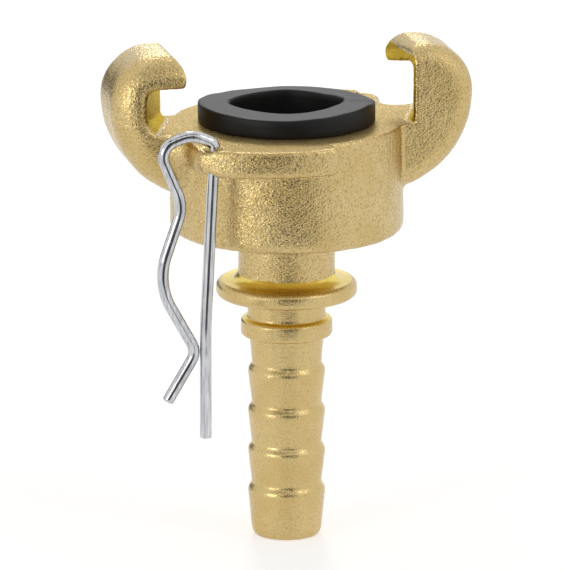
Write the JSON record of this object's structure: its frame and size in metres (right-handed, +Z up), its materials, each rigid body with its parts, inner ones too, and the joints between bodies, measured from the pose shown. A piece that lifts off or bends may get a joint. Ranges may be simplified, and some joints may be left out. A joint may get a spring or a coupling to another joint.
{
  "type": "claw hose coupling",
  "caption": "Brass quick-acting hose coupling with hooked claws, cam lugs, a rubber face washer, a barbed hose shank and a wire safety clip.",
  "frame": {"origin": "centre of the shank bore at the hose end", "axes": "+Z up the bore towards the sealing face, X through both claws"},
  "size_m": [0.0606, 0.047, 0.0834],
  "materials": {
    "cast_brass": "cast and tumbled head, turned shank",
    "black_rubber": "matte moulded rubber",
    "plated_wire": "bright zinc-plated spring wire"
  },
  "bodies": {
    "coupling": {"coupling_body": "cast_brass", "sealing_washer": "black_rubber"},
    "clip": {"safety_clip": "plated_wire"}
  },
  "joints": [
    {"name": "clip_swivel", "type": "hinge", "parent": "coupling", "child": "clip", "pos_m": [-0.016, -0.0175, 0.0681], "axis": [0, 0, 1], "range_deg": [-45, 120]}
  ]
}
